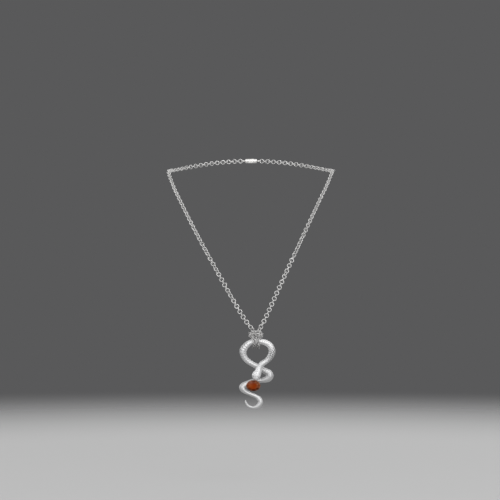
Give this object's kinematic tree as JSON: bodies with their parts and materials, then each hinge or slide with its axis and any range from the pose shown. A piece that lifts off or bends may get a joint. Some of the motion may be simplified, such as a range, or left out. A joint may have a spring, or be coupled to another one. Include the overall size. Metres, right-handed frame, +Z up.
{
  "type": "snake necklace",
  "caption": "Round-link silver neck chain, looped over the body of a coiled snake pendant that hangs free and holds a faceted oval stone below its head.",
  "frame": {"origin": "middle of the loop where it crosses the shoulders, at the height of the two places where the chain leaves them", "axes": "+Z up, -Y to the wearer's front, +X to the viewer's right"},
  "size_m": [0.141, 0.1425, 0.2057],
  "materials": {
    "chain": "bright polished silver wire",
    "clasp": "bright polished silver",
    "snake": "satin cast silver with scales",
    "stone": "polished orange-brown faceted stone"
  },
  "bodies": {
    "chain": {"chain_left": "chain", "chain_right": "chain", "clasp": "clasp"},
    "pendant": {"snake": "snake", "stone": "stone"}
  },
  "joints": [
    {"name": "pendant_swing", "type": "hinge", "parent": "chain", "child": "pendant", "pos_m": [0.0039, -0.088, -0.1399], "axis": [1, 0, 0], "range_deg": [-75, 60]}
  ]
}
